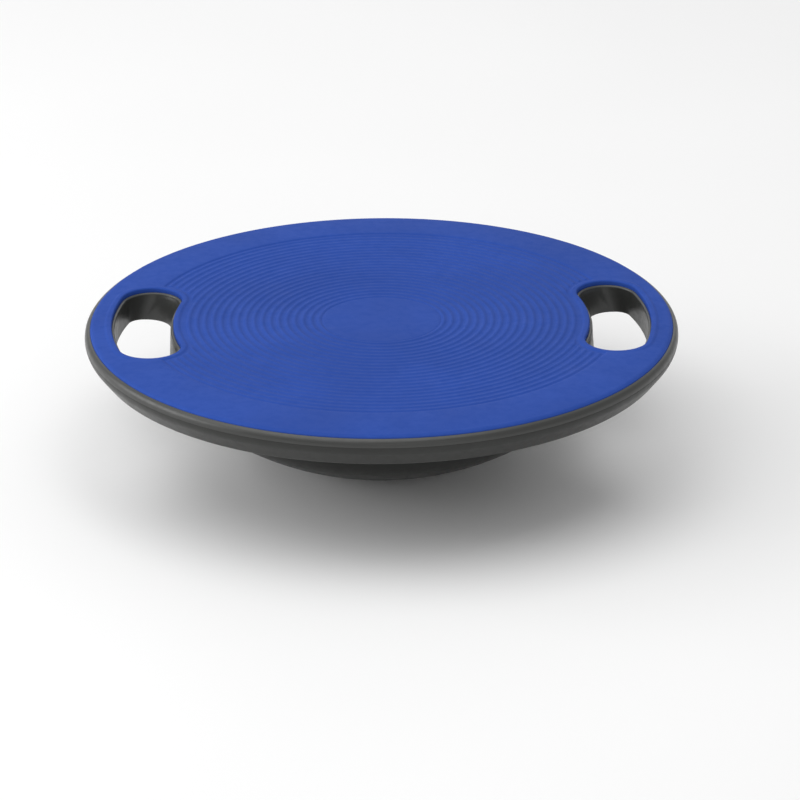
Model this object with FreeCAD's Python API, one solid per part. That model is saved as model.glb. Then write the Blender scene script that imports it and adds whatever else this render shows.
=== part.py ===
"""Balance dome trainer: a round board that rocks on a wide dome.

Millimetres, +Z up. The origin is the lowest point of the dome, on the vertical axis of the board.
The two handle openings lie on the X axis. Every sub-part is written to parts/ as its own STEP file.
"""
import FreeCAD, Part
import math
import os

os.makedirs("parts", exist_ok=True)
V = FreeCAD.Vector
UP = V(0, 0, 1)
ORIGIN = V(0, 0, 0)

# ---- driving dimensions of the whole board
BOARD_D = 400.0
BOARD_H = 100.0
RIM_R = BOARD_D / 2
WALL = 3.0
OVERRUN = 3.0

# ---- anti-slip mat
MAT_R = 196.3
MAT_SEAT_Z = BOARD_H - 3.4
MAT_FIELD_Z = BOARD_H - 0.8
MAT_CENTRE_Z = BOARD_H - 0.6
CENTRE_DISC_R = 39.6
CENTRE_DISC_CHAMFER = 0.4
RING_FIRST_R = 42.0
RING_PITCH = 5.5
RING_COUNT = 22
RING_HALF_W = 1.7
RING_H = 0.5
BORDER_STEP_R = 160.2
BORDER_STEP_W = 1.6
BORDER_STEP_TOP_Z = BOARD_H - 0.1
BORDER_CREST_R = 168.0
BORDER_EDGE_R = 192.6
BORDER_EDGE_Z = BOARD_H - 1.3
BORDER_ROLL_R = 195.3
BORDER_ROLL_Z = BOARD_H - 2.2
KEY_W = 1.3
KEY_DEPTH = 1.1
FIT_GAP = 0.1

# ---- deck shell: plate, lip, tongue and ribs
PLATE_T = 3.2
PLATE_UNDER_Z = MAT_SEAT_Z - PLATE_T
LIP_ROUND_R = 4.5
LIP_ROUND_Z = BOARD_H - 7.6
LIP_SWELL = 0.1
SEAM_Z = BOARD_H - 8.5
SEAM_CHAMFER = 0.15
TONGUE_R = 195.9
TONGUE_T = 2.7
TONGUE_DEPTH = 2.9
RIB_T = 2.0
RIB_COUNT = 24
RIB_INNER_R = 30.0
RIB_RING_RADII = (30.0, 78.0)
RIB_ROOT = 0.5
DOME_RING_RIB_T = 2.5
OUTER_RIB_FOOT_GAP = 1.0
BRACE_FOOT_GAP = 1.5

# ---- rim shell: band, foot and underside panel
BAND_ROUND_R = 9.0
BAND_ANGLE = math.radians(38)
FOOT_ROUND_R = 4.5
FOOT_Z = 76.0
FOOT_INNER_R = 185.4
FOOT_INNER_SLOPE = 0.8
PANEL_Z = 77.2
PANEL_TOP_Z = 80.0
PANEL_INNER_R = 132.1
SOCKET_GAP = 0.3

# ---- rocker dome
DOME_R = 207.0
DOME_SPHERE_EDGE_R = 113.0
DOME_FLANK_R = 131.5
DOME_WALL = 3.5
FLANGE_R = 140.6
FLANGE_TOP_Z = 83.0
DOME_RIB_COUNT = 8
DOME_RIB_T = 2.2

# ---- handle openings: a curved slot at the top, a straighter mouth below
SLOT_R = 161.0
SLOT_HALF_ANGLE = math.radians(15.1)
SLOT_END_SPLIT = math.radians(78)
SLOT_HALF_W = 18.8
SLOT_LIP_HALF_W = 20.4
SLOT_LIP_Z = MAT_SEAT_Z + 0.3
SLOT_LIP_FLAT_W = 0.4
SLOT_LIP_ROUND_Z = MAT_SEAT_Z - 1.0
MAT_SLOT_HALF_W = 20.7
# Rounding of the mat's edge at an opening: widening, and depth under the top of the board.
MAT_EDGE_ROUND = ((0.0, 1.2), (0.35, 0.4), (1.2, -0.1))
MOUTH_INNER_X = 143.0
MOUTH_OUTER_R = 180.0
MOUTH_END_Y = 61.0
MOUTH_INNER_CORNER_R = 18.0
MOUTH_OUTER_CORNER_R = 10.0
BEAD_FOOT_HALF_W = 26.0
BEAD_GROOVE_W = 1.0
BEAD_SHOULDER = 1.0
BEAD_SHOULDER_Z = BOARD_H - 0.25
BEAD_CREST = 2.4
BEAD_OUTER_R = 187.6
BEAD_ROOT = 0.4

# ---- screws
SCREW_ANGLES = (30, 60, 90, 120, 150, 210, 240, 270, 300, 330)
DOME_SCREW_R = 136.3
DOME_SCREW_LENGTH = 14.0
CSK_HEAD_R = 3.75
RIM_SCREW_R = 168.0
RIM_SCREW_LENGTH = 11.0
PAN_HEAD_R = 3.8
PAN_HEAD_H = 2.4
PAN_CROWN_H = 1.0
PAN_CROWN_INSET = 1.2
SCREW_TIP_L = 2.0
SCREW_TIP_R = 0.4
SCREW_END_GAP = 0.5
POCKET_R = 4.4
POCKET_SEAT_Z = 83.5
POCKET_TOP_Z = 86.0
POCKET_WALL = 1.6
SHANK_R = 1.95
PILOT_R = 2.0
CLEARANCE_R = 2.15
BOSS_R = 4.25
RECESS_W = 0.9
RECESS_L = 3.8
CSK_RECESS_DEPTH = 1.4
PAN_RECESS_DEPTH = 1.5
DOME_PILOT_DEPTH = 11.0
RIM_PILOT_DEPTH = 9.0


# ---------------------------------------------------------------- small geometry helpers
def point(r, z):
    """A point of a turned profile: radius r, height z."""
    return V(r, 0, z)


def profile_face(steps):
    """Closed face from a list of corner points; a (middle, end) pair makes an arc."""
    start = steps[0]
    here = start
    edges = []
    for step in steps[1:]:
        if isinstance(step, tuple):
            middle, end = step
            edges.append(Part.Arc(here, middle, end).toShape())
            here = end
        else:
            edges.append(Part.LineSegment(here, step).toShape())
            here = step
    if here.distanceToPoint(start) > 1e-6:
        edges.append(Part.LineSegment(here, start).toShape())
    return Part.Face(Part.Wire(edges))


def turned(steps):
    """Solid of revolution about the board's axis."""
    return profile_face(steps).revolve(ORIGIN, UP, 360)


def on_circle(centre, radius, angle):
    """Point of a circle in the r-z plane, angle measured from +r towards +z."""
    return centre + V(math.cos(angle), 0, math.sin(angle)) * radius


def tube(r_in, r_out, z_low, z_high):
    outer = Part.makeCylinder(r_out, z_high - z_low, point(0, z_low))
    return outer.cut(Part.makeCylinder(r_in, z_high - z_low, point(0, z_low)))


def polar(radius, degrees, z=0.0):
    a = math.radians(degrees)
    return V(radius * math.cos(a), radius * math.sin(a), z)


def radial_box(r_in, r_out, thickness, z_low, z_high, degrees):
    """Upright rib plate that runs outwards from the axis."""
    box = Part.makeBox(r_out - r_in, thickness, z_high - z_low, V(r_in, -thickness / 2, z_low))
    box.rotate(ORIGIN, UP, degrees)
    return box


def half_turned(shape):
    """The same shape on the other side of the board."""
    other = shape.copy()
    other.rotate(ORIGIN, UP, 180)
    return other


def both_sides(shape):
    return [shape, half_turned(shape)]


def one_solid(shape):
    """The single solid that a boolean left behind, with its faces merged."""
    shape = shape.removeSplitter()
    solids = shape.Solids
    assert len(solids) == 1, "expected one solid, found %d" % len(solids)
    assert solids[0].isValid()
    return solids[0]


# ---------------------------------------------------------------- handle opening outlines
def arc_about(centre, radius, a0, a1, z):
    """Arc edge in plan about a centre, from angle a0 to a1 in radians."""
    def at(a):
        return V(centre[0] + radius * math.cos(a), centre[1] + radius * math.sin(a), z)

    return Part.Arc(at(a0), at((a0 + a1) / 2), at(a1)).toShape()


def slot_wire(half_w, z):
    """Curved slot: arcs about the board's axis, closed by full round ends."""
    end_split = SLOT_END_SPLIT
    a = SLOT_HALF_ANGLE
    edges = [arc_about((0, 0), SLOT_R + half_w, -a, a, z)]
    cx, cy = SLOT_R * math.cos(a), SLOT_R * math.sin(a)
    for low, high in ((0, end_split), (end_split, math.pi - end_split), (math.pi - end_split, math.pi)):
        edges.append(arc_about((cx, cy), half_w, a + low, a + high, z))
    edges.append(arc_about((0, 0), SLOT_R - half_w, a, -a, z))
    for low, high in ((-math.pi, end_split - math.pi), (end_split - math.pi, -end_split), (-end_split, 0)):
        edges.append(arc_about((cx, -cy), half_w, low - a, high - a, z))
    return Part.Wire(edges)


def mouth_wire(offset, z):
    """Lower mouth: straight inner side, straight ends, outer side curved about the axis."""
    x_in = MOUTH_INNER_X - offset
    y_end = MOUTH_END_Y + offset
    r_out = MOUTH_OUTER_R + offset
    ri = MOUTH_INNER_CORNER_R + offset
    ro = MOUTH_OUTER_CORNER_R + offset
    outer_cy = y_end - ro
    outer_cx = math.sqrt((r_out - ro) ** 2 - outer_cy ** 2)
    a = math.atan2(outer_cy, outer_cx)
    inner_c = (x_in + ri, y_end - ri)
    edges = [arc_about((0, 0), r_out, -a, a, z)]
    edges.append(arc_about((outer_cx, outer_cy), ro, a, math.pi / 2, z))
    edges.append(Part.LineSegment(V(outer_cx, y_end, z), V(inner_c[0], y_end, z)).toShape())
    edges.append(arc_about(inner_c, ri, math.pi / 2, math.pi, z))
    edges.append(Part.LineSegment(V(x_in, inner_c[1], z), V(x_in, -inner_c[1], z)).toShape())
    edges.append(arc_about((inner_c[0], -inner_c[1]), ri, math.pi, 1.5 * math.pi, z))
    edges.append(Part.LineSegment(V(inner_c[0], -y_end, z), V(outer_cx, -y_end, z)).toShape())
    edges.append(arc_about((outer_cx, -outer_cy), ro, 1.5 * math.pi, 2 * math.pi - a, z))
    return Part.Wire(edges)


def grip_prism(offset):
    """The handle opening grown by offset, from above the board down past its underside."""
    top = MAT_SEAT_Z
    bottom = PANEL_Z
    taper = Part.makeLoft([slot_wire(SLOT_HALF_W + offset, top), mouth_wire(offset, bottom)], True, True)
    above = Part.Face(slot_wire(SLOT_HALF_W + offset, top)).extrude(UP * 2 * OVERRUN)
    below = Part.Face(mouth_wire(offset, bottom)).extrude(UP * -2 * OVERRUN)
    return taper.fuse([above, below])


def stacked_slot(levels):
    """Solid through slot outlines of (half width, height)."""
    return Part.makeLoft([slot_wire(half_w, z) for half_w, z in levels], True, True)


# ---------------------------------------------------------------- anti-slip mat
def ring_profile():
    """Turned outline of the mat's top, from the centre out to the last ring."""
    steps = [point(0, MAT_CENTRE_Z), point(CENTRE_DISC_R, MAT_CENTRE_Z)]
    steps.append(point(CENTRE_DISC_R + CENTRE_DISC_CHAMFER, MAT_FIELD_Z))
    for i in range(RING_COUNT):
        r = RING_FIRST_R + i * RING_PITCH
        if r - RING_HALF_W > steps[-1].x + 1e-6:
            steps.append(point(r - RING_HALF_W, MAT_FIELD_Z))
        steps.append((point(r, MAT_FIELD_Z + RING_H), point(r + RING_HALF_W, MAT_FIELD_Z)))
        if i == RING_COUNT - 1:
            return steps
        steps.append(point(r + RING_PITCH - RING_HALF_W, MAT_FIELD_Z))
    return steps


def corner_points(steps):
    """The steps again, without doubled corners."""
    clean = [steps[0]]
    for step in steps[1:]:
        last = clean[-1][1] if isinstance(clean[-1], tuple) else clean[-1]
        if isinstance(step, tuple) or step.distanceToPoint(last) > 1e-6:
            clean.append(step)
    return clean


def mat_bead():
    """Raised bead round the +X opening, level with the border's crest."""
    bead = stacked_slot([
        (BEAD_FOOT_HALF_W, MAT_FIELD_Z - BEAD_ROOT),
        (BEAD_FOOT_HALF_W, MAT_FIELD_Z),
        (BEAD_FOOT_HALF_W - BEAD_SHOULDER, BEAD_SHOULDER_Z),
        (BEAD_FOOT_HALF_W - BEAD_CREST, BOARD_H),
    ])
    inside_rim = Part.makeCylinder(BEAD_OUTER_R, BOARD_H, ORIGIN)
    return bead.common(inside_rim)


def ridge_clearance():
    """Space round the +X opening in which the ridges stop short of the bead."""
    clear_w = BEAD_FOOT_HALF_W + BEAD_GROOVE_W
    clear = stacked_slot([(clear_w, MAT_FIELD_Z), (clear_w, BOARD_H + OVERRUN)])
    border = tube(BORDER_STEP_R + BORDER_STEP_W, RIM_R, MAT_FIELD_Z - OVERRUN, BOARD_H + 2 * OVERRUN)
    return clear.cut(border)


def make_top_mat():
    border = [
        point(BORDER_STEP_R, MAT_FIELD_Z),
        point(BORDER_STEP_R + BORDER_STEP_W, BORDER_STEP_TOP_Z),
        (point(BORDER_CREST_R, BOARD_H), point(BORDER_EDGE_R, BORDER_EDGE_Z)),
        (point(BORDER_ROLL_R, BORDER_ROLL_Z), point(MAT_R, MAT_SEAT_Z)),
        point(MAT_R, MAT_SEAT_Z - KEY_DEPTH),
        point(MAT_R - KEY_W, MAT_SEAT_Z - KEY_DEPTH),
        point(MAT_R - KEY_W, MAT_SEAT_Z),
        point(0, MAT_SEAT_Z),
    ]
    mat = turned(corner_points(ring_profile() + border))
    round_edge = [(MAT_SLOT_HALF_W + wider, BOARD_H - depth) for wider, depth in MAT_EDGE_ROUND]
    opening = stacked_slot([(MAT_SLOT_HALF_W, MAT_SEAT_Z - OVERRUN)] + round_edge)
    mat = mat.cut(both_sides(ridge_clearance()))
    mat = mat.fuse(both_sides(mat_bead()))
    mat = mat.cut(both_sides(opening))
    return one_solid(mat)


# ---------------------------------------------------------------- deck shell
def deck_body():
    """Turned part of the deck: plate, groove for the mat's key, rounded lip and tongue."""
    lip_centre = point(RIM_R - LIP_SWELL - LIP_ROUND_R, LIP_ROUND_Z)
    lip_start = math.acos((MAT_R + FIT_GAP - lip_centre.x) / LIP_ROUND_R)
    tongue_z = SEAM_Z - TONGUE_DEPTH
    return turned([
        point(0, PLATE_UNDER_Z),
        point(0, MAT_SEAT_Z),
        point(MAT_R - KEY_W, MAT_SEAT_Z),
        point(MAT_R - KEY_W, MAT_SEAT_Z - KEY_DEPTH),
        point(MAT_R, MAT_SEAT_Z - KEY_DEPTH),
        point(MAT_R, MAT_SEAT_Z),
        on_circle(lip_centre, LIP_ROUND_R, lip_start),
        (on_circle(lip_centre, LIP_ROUND_R, lip_start / 2), on_circle(lip_centre, LIP_ROUND_R, 0)),
        point(RIM_R, SEAM_Z + SEAM_CHAMFER),
        point(RIM_R - SEAM_CHAMFER, SEAM_Z),
        point(TONGUE_R, SEAM_Z),
        point(TONGUE_R, tongue_z),
        point(TONGUE_R - TONGUE_T, tongue_z),
        point(TONGUE_R - TONGUE_T, PLATE_UNDER_Z),
    ])


def deck_ribs():
    """Radial and ring ribs that hang from the plate onto the dome's flange and short of the panel."""
    rib_top_z = PLATE_UNDER_Z + RIB_ROOT
    split_r = FLANGE_R + FIT_GAP
    end_r = TONGUE_R - TONGUE_T / 2
    ribs = []
    for i in range(RIB_COUNT):
        degrees = (i + 0.5) * 360 / RIB_COUNT
        ribs.append(radial_box(RIB_INNER_R, split_r + RIB_T, RIB_T, FLANGE_TOP_Z, rib_top_z, degrees))
        ribs.append(radial_box(split_r, end_r, RIB_T, PANEL_TOP_Z + OUTER_RIB_FOOT_GAP, rib_top_z, degrees))
    for ring_r in RIB_RING_RADII:
        ribs.append(tube(ring_r - RIB_T / 2, ring_r + RIB_T / 2, FLANGE_TOP_Z, rib_top_z))
    dome_wall_r = DOME_FLANK_R - DOME_WALL / 2
    half_t = DOME_RING_RIB_T / 2
    ribs.append(tube(dome_wall_r - half_t, dome_wall_r + half_t, FLANGE_TOP_Z, rib_top_z))
    for degrees in SCREW_ANGLES:
        ribs.append(radial_box(RIM_SCREW_R, end_r, RIB_T, POCKET_TOP_Z + BRACE_FOOT_GAP, rib_top_z, degrees))
    return ribs


def screw_columns(radius, dome_screw_h, rim_screw_h):
    """Upright cylinders over both rings of screws, for the bosses and for their pilot holes."""
    columns = []
    for degrees in SCREW_ANGLES:
        columns.append(Part.makeCylinder(radius, dome_screw_h, polar(DOME_SCREW_R, degrees, FLANGE_TOP_Z)))
        columns.append(Part.makeCylinder(radius, rim_screw_h, polar(RIM_SCREW_R, degrees, POCKET_TOP_Z)))
    return columns


def opening_collar():
    """Wall round the +X opening, down to the underside of the board."""
    band = Part.makeCylinder(RIM_R, MAT_SEAT_Z - PANEL_Z, point(0, PANEL_Z))
    return grip_prism(WALL).common(band)


def opening_lip():
    """Low rim over the +X opening, still filled, inside the mat's own opening."""
    return stacked_slot([(SLOT_LIP_HALF_W, MAT_SEAT_Z - RIB_ROOT), (SLOT_LIP_HALF_W, SLOT_LIP_Z)])


def opening_round():
    """Space over the rounded inner edge of that rim."""
    top_w = SLOT_LIP_HALF_W - SLOT_LIP_FLAT_W
    shoulder_w = SLOT_HALF_W + SLOT_LIP_FLAT_W
    shoulder_z = (SLOT_LIP_ROUND_Z + 2 * SLOT_LIP_Z) / 3
    return stacked_slot([
        (SLOT_HALF_W - SLOT_LIP_FLAT_W, SLOT_LIP_ROUND_Z),
        (shoulder_w, shoulder_z),
        (top_w, SLOT_LIP_Z),
        (top_w, SLOT_LIP_Z + OVERRUN),
    ])


def make_deck_shell():
    rib_top_z = PLATE_UNDER_Z + RIB_ROOT
    bosses = screw_columns(BOSS_R, rib_top_z - FLANGE_TOP_Z, rib_top_z - POCKET_TOP_Z)
    body = deck_body().fuse(deck_ribs() + bosses + both_sides(opening_collar()))
    # The tapering rim band leaves the outer ribs less room towards their feet.
    body = body.cut(rim_inside_keepout())
    body = body.fuse(both_sides(opening_lip()))
    body = body.cut(both_sides(grip_prism(0)) + both_sides(opening_round()))
    pilots = screw_columns(PILOT_R, DOME_PILOT_DEPTH, RIM_PILOT_DEPTH)
    return one_solid(body.cut(pilots))


# ---------------------------------------------------------------- rim shell
def band_outline():
    """Outer surface of the band: seam, round shoulder, cone, round lower edge, foot."""
    top = point(RIM_R, SEAM_Z - SEAM_CHAMFER)
    round_centre = top - V(BAND_ROUND_R, 0, 0)
    cone_start = on_circle(round_centre, BAND_ROUND_R, -BAND_ANGLE)
    cone_end_z = FOOT_Z + FOOT_ROUND_R * (1 - math.sin(BAND_ANGLE))
    cone_end = point(cone_start.x - (cone_start.z - cone_end_z) * math.tan(BAND_ANGLE), cone_end_z)
    foot_centre = cone_end - V(math.cos(BAND_ANGLE), 0, -math.sin(BAND_ANGLE)) * FOOT_ROUND_R
    half_way = -(BAND_ANGLE + math.pi / 2) / 2
    foot_end = on_circle(foot_centre, FOOT_ROUND_R, -math.pi / 2)
    return [
        top,
        (on_circle(round_centre, BAND_ROUND_R, -BAND_ANGLE / 2), cone_start),
        cone_end,
        (on_circle(foot_centre, FOOT_ROUND_R, half_way), foot_end),
    ]


def band_inner_corners():
    """Inside of the band: bottom corner of the cone, top corner of the cone."""
    outline = band_outline()
    cone_start = outline[1][1]
    slope = math.tan(BAND_ANGLE)
    r_at_panel = cone_start.x - (cone_start.z - PANEL_TOP_Z) * slope - WALL / math.cos(BAND_ANGLE)
    r_top = TONGUE_R + SOCKET_GAP
    z_top = PANEL_TOP_Z + (r_top - r_at_panel) / slope
    return point(r_at_panel, PANEL_TOP_Z), point(r_top, z_top)


def rim_inside_keepout():
    """Everything that the rim shell's band fills, with clearance, for trimming the deck's ribs."""
    low, high = band_inner_corners()
    gap = SOCKET_GAP
    return turned([
        point(low.x - gap - OVERRUN, low.z - OVERRUN),
        point(low.x - gap, low.z),
        point(high.x - gap, high.z),
        point(high.x - gap, SEAM_Z - TONGUE_DEPTH),
        point(RIM_R + OVERRUN, SEAM_Z - TONGUE_DEPTH),
        point(RIM_R + OVERRUN, low.z - OVERRUN),
    ])


def make_rim_shell():
    low, high = band_inner_corners()
    outline = band_outline()
    body = turned([point(RIM_R - SEAM_CHAMFER, SEAM_Z)] + outline + [
        point(FOOT_INNER_R, FOOT_Z),
        point(FOOT_INNER_R - FOOT_INNER_SLOPE, PANEL_Z),
        point(PANEL_INNER_R, PANEL_Z),
        point(PANEL_INNER_R, PANEL_TOP_Z),
        low,
        high,
        point(high.x, SEAM_Z),
    ])
    pockets = []
    for degrees in SCREW_ANGLES:
        foot = polar(RIM_SCREW_R, degrees, PANEL_TOP_Z - RIB_ROOT)
        pockets.append(Part.makeCylinder(POCKET_R + POCKET_WALL, POCKET_TOP_Z - foot.z, foot))
    body = body.fuse(pockets)
    holes = both_sides(grip_prism(WALL + SOCKET_GAP))
    for degrees in SCREW_ANGLES:
        foot = polar(RIM_SCREW_R, degrees, PANEL_Z - OVERRUN)
        holes.append(Part.makeCylinder(POCKET_R, POCKET_SEAT_Z - foot.z, foot))
        holes.append(Part.makeCylinder(CLEARANCE_R, POCKET_TOP_Z + OVERRUN - foot.z, foot))
    return one_solid(body.cut(holes))


# ---------------------------------------------------------------- rocker dome
def dome_arcs(inset):
    """Outline of the dome moved inwards by inset: sphere arc, then flank arc, from the axis up."""
    centre = point(0, DOME_R)
    edge_angle = -math.acos(DOME_SPHERE_EDGE_R / DOME_R)
    reach = DOME_FLANK_R - DOME_SPHERE_EDGE_R
    flank_r = reach / (1 - math.cos(edge_angle))
    flank_centre = on_circle(centre, DOME_R - flank_r, edge_angle)
    sphere_r = DOME_R - inset
    low = on_circle(centre, sphere_r, -math.pi / 2)
    low_middle = on_circle(centre, sphere_r, (edge_angle - math.pi / 2) / 2)
    joint = on_circle(centre, sphere_r, edge_angle)
    flank_middle = on_circle(flank_centre, flank_r - inset, edge_angle / 2)
    flank_end = on_circle(flank_centre, flank_r - inset, 0)
    return low, [(low_middle, joint), (flank_middle, flank_end)]


def make_rocker_dome():
    low, outer = dome_arcs(0)
    inner_low, inner = dome_arcs(DOME_WALL)
    inner_r = DOME_FLANK_R - DOME_WALL
    skin = turned([low] + outer + [
        point(DOME_FLANK_R, PANEL_TOP_Z),
        point(FLANGE_R, PANEL_TOP_Z),
        point(FLANGE_R, FLANGE_TOP_Z),
        point(0, FLANGE_TOP_Z),
    ])
    hollow = turned([inner_low] + inner + [point(inner_r, FLANGE_TOP_Z), point(0, FLANGE_TOP_Z)])
    ribs = [tube(r - DOME_RIB_T / 2, r + DOME_RIB_T / 2, 0, FLANGE_TOP_Z) for r in RIB_RING_RADII]
    for i in range(DOME_RIB_COUNT):
        degrees = (i + 0.5) * 360 / DOME_RIB_COUNT
        ribs.append(radial_box(RIB_INNER_R, DOME_FLANK_R, DOME_RIB_T, 0, FLANGE_TOP_Z, degrees))
    body = skin.cut(hollow.cut(ribs))
    holes = both_sides(grip_prism(WALL + SOCKET_GAP))
    head_h = CSK_HEAD_R - CLEARANCE_R
    for degrees in SCREW_ANGLES:
        foot = polar(DOME_SCREW_R, degrees, PANEL_TOP_Z)
        holes.append(Part.makeCylinder(CLEARANCE_R, WALL + 2 * OVERRUN, foot - UP * OVERRUN))
        holes.append(Part.makeCone(CSK_HEAD_R, CLEARANCE_R, head_h, foot))
    return one_solid(body.cut(holes))


# ---------------------------------------------------------------- screws
def cross_recess(foot, depth):
    """Cross slot cut into a head from below."""
    bars = []
    for dx, dy in ((RECESS_L, RECESS_W), (RECESS_W, RECESS_L)):
        corner = foot - V(dx / 2, dy / 2, 0.01)
        bars.append(Part.makeBox(dx, dy, depth, corner))
    return bars[0].fuse(bars[1])


def screw_shank(foot, z_low, length):
    """Straight shank with a short pointed end."""
    base = V(foot.x, foot.y, z_low)
    straight = Part.makeCylinder(SHANK_R, length - SCREW_TIP_L, base)
    return straight.fuse(Part.makeCone(SHANK_R, SCREW_TIP_R, SCREW_TIP_L, base + UP * (length - SCREW_TIP_L)))


def make_dome_screw(degrees):
    """Countersunk screw, head flush with the underside of the dome's flange."""
    foot = polar(DOME_SCREW_R, degrees, PANEL_TOP_Z)
    head_h = CSK_HEAD_R - CLEARANCE_R
    head = Part.makeCone(CSK_HEAD_R - FIT_GAP, CLEARANCE_R - FIT_GAP, head_h, foot + UP * FIT_GAP)
    body = head.fuse(screw_shank(foot, foot.z + FIT_GAP, DOME_SCREW_LENGTH - SCREW_END_GAP))
    return one_solid(body.cut(cross_recess(foot, CSK_RECESS_DEPTH)))


def make_rim_screw(degrees):
    """Pan-head screw seated in a pocket of the underside."""
    foot = polar(RIM_SCREW_R, degrees, POCKET_SEAT_Z - PAN_HEAD_H)
    crown = Part.makeCone(PAN_HEAD_R - PAN_CROWN_INSET, PAN_HEAD_R, PAN_CROWN_H, foot)
    head = crown.fuse(Part.makeCylinder(PAN_HEAD_R, PAN_HEAD_H - PAN_CROWN_H, foot + UP * PAN_CROWN_H))
    length = PAN_HEAD_H - PAN_CROWN_H + RIM_SCREW_LENGTH - SCREW_END_GAP
    body = head.fuse(screw_shank(foot, foot.z + PAN_CROWN_H, length))
    return one_solid(body.cut(cross_recess(foot, PAN_RECESS_DEPTH)))


# ---------------------------------------------------------------- assembly
PARTS = {
    "top_mat": make_top_mat(),
    "deck_shell": make_deck_shell(),
    "rim_shell": make_rim_shell(),
    "rocker_dome": make_rocker_dome(),
    "dome_screws": Part.makeCompound([make_dome_screw(degrees) for degrees in SCREW_ANGLES]),
    "rim_screws": Part.makeCompound([make_rim_screw(degrees) for degrees in SCREW_ANGLES]),
}

for name, shape in PARTS.items():
    shape.exportStep("parts/%s.step" % name)
    box = shape.optimalBoundingBox()
    print("%-12s solids %2d  volume %7.1f cm3  z %6.2f to %6.2f  r %.1f" % (
        name, len(shape.Solids), shape.Volume / 1000, box.ZMin, box.ZMax, box.XMax))
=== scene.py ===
"""Balance dome trainer: visual model, materials, stage and camera.

Metres, +Z up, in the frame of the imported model: the origin is the lowest point of the dome, and
the two handle openings lie on the X axis. Sizes named here are in millimetres, unless a heading
says otherwise, and are multiplied by MM where they are used.
"""
import math

import bmesh
import bpy
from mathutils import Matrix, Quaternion, Vector
from mathutils.geometry import tessellate_polygon


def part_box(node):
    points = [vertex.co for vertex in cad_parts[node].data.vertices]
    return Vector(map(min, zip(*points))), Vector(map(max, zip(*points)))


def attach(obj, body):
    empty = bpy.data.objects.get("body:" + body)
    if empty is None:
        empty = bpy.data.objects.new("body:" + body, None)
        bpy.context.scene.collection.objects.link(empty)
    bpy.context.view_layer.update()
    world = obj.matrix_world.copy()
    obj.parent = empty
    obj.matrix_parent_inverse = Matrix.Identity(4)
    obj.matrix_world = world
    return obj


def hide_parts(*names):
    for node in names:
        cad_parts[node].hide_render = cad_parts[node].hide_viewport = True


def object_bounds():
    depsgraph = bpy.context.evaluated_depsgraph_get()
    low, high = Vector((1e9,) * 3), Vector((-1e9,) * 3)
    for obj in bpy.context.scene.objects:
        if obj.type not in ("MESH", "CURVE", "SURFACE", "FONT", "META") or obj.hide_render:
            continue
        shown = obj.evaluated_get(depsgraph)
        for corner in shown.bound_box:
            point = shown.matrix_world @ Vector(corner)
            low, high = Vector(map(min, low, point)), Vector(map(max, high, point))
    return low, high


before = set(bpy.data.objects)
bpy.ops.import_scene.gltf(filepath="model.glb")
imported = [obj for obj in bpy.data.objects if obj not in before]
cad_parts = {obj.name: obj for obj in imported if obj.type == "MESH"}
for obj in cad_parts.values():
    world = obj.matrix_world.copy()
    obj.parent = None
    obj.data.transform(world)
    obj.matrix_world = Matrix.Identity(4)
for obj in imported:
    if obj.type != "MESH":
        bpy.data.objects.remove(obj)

CAD_LOW, CAD_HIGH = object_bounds()
MM = 0.001

# ---- places read from the frame, in millimetres
RIM_R = min(-CAD_LOW.x, -CAD_LOW.y, CAD_HIGH.x, CAD_HIGH.y) / MM
BOARD_H = CAD_HIGH.z / MM
SEAM_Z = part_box("rim_shell")[1].z / MM
FOOT_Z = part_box("rim_shell")[0].z / MM
PANEL_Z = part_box("deck_shell")[0].z / MM
SLOT_LIP_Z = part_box("deck_shell")[1].z / MM
FLANGE_TOP_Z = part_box("rocker_dome")[1].z / MM

# ---- anti-slip mat
MAT_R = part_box("top_mat")[1].y / MM
MAT_SEAT_Z = BOARD_H - 3.4
MAT_FIELD_Z = BOARD_H - 0.8
MAT_CENTRE_Z = BOARD_H - 0.6
CENTRE_DISC_R = 39.6
RING_FIRST_R = 42.0
RING_PITCH = 5.5
RING_COUNT = 22
RING_HALF_W = 1.7
RING_H = 0.5
RING_CROWN_POWER = 2.2
RING_FLANK_POWER = 1.25
RING_END_TAPER = 1.6
CENTRE_DISC_EDGE_HALF_W = 0.5
BORDER_STEP_R = 160.2
BORDER_STEP_W = 1.6
BORDER_CREST_R = 168.0
BORDER_EDGE_R = 192.6
BORDER_EDGE_DROP = 1.3
KEY_W = 1.3
KEY_DEPTH = 1.1
FIT_GAP = 0.1

# ---- handle openings: a curved slot at the top, a straighter mouth below
SLOT_R = 161.0
SLOT_HALF_ANGLE = math.radians(15.1)
SLOT_END_SPLIT = math.radians(78)
SLOT_HALF_W = 18.8
SLOT_LIP_HALF_W = 20.4
SLOT_LIP_OUTER_ROUND = 0.25
SLOT_LIP_ROUND = 1.3
SLOT_CLEAR_W = 27.0
BEAD_FOOT_W = 26.0
BEAD_CREST_W = 23.6
MAT_SLOT_HALF_W = 20.7
MAT_EDGE_ROUND_W = 1.1
MAT_EDGE_ROUND_H = 1.3
MOUTH_INNER_X = 143.0
MOUTH_OUTER_R = 180.0
MOUTH_END_Y = 61.0
MOUTH_INNER_CORNER_R = 18.0
MOUTH_OUTER_CORNER_R = 10.0
MOUTH_EDGE_ROUND = 0.6

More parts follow.
